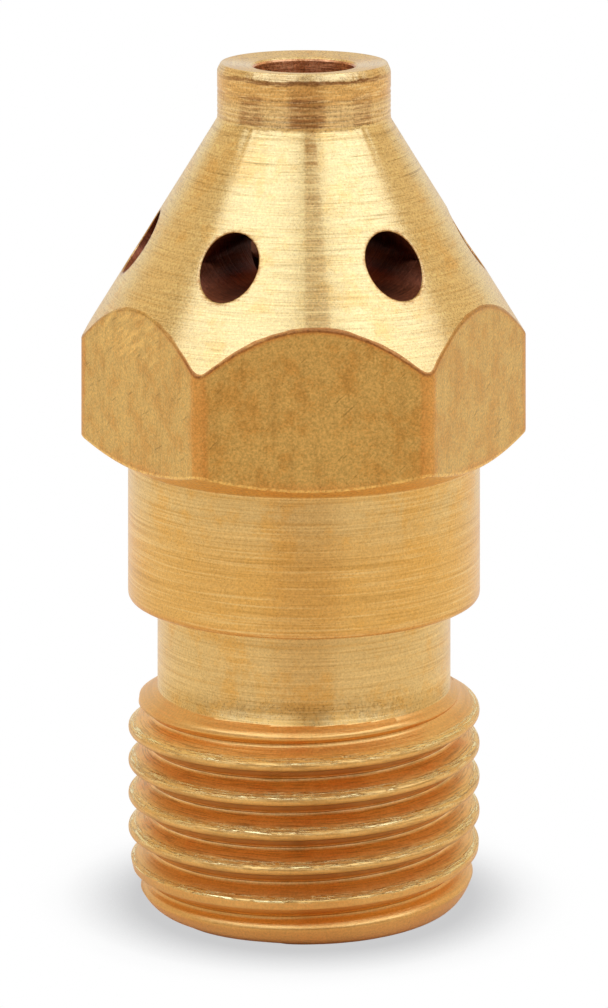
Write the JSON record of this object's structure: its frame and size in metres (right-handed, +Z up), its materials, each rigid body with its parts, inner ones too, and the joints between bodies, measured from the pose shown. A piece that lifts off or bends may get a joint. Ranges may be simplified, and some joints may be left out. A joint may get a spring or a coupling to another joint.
{
  "type": "oil burner nozzle",
  "caption": "Brass oil burner nozzle: hexagon body with a ported cone and open throat, threaded stem, and a sprung anti-drip valve, strainer and swirl parts inside.",
  "frame": {"origin": "centre of the inlet end face of the threaded stem", "axes": "+Z up along the nozzle's axis, from the inlet to the throat; a flat of the hexagon faces -Y and a corner faces +X"},
  "size_m": [0.0182, 0.0158, 0.0339],
  "materials": {
    "body_brass": "fine turned and drawn, lightly toned",
    "insert_brass": "turned",
    "hard_steel": "ground",
    "spring_steel": "drawn wire",
    "screen_bronze": "fine woven wire",
    "seal_rubber": "moulded"
  },
  "bodies": {
    "nozzle": {"nozzle_body": "body_brass", "orifice_disc": "hard_steel", "swirl_distributor": "hard_steel", "lock_screw": "insert_brass", "valve_spring": "spring_steel", "valve_seat": "insert_brass", "valve_seat_o_ring": "seal_rubber", "strainer_cap": "insert_brass", "strainer_screen": "screen_bronze", "strainer_base": "insert_brass", "retaining_ring": "spring_steel"},
    "poppet": {"check_poppet": "hard_steel", "poppet_o_ring": "seal_rubber"}
  },
  "joints": [
    {"name": "poppet_lift", "type": "slide", "parent": "nozzle", "child": "poppet", "axis": [0, 0, 1], "range_m": [0, 0.0008], "stiffness_N_per_m": 900, "springref_m": -0.001, "deforming": ["valve_spring"]}
  ]
}
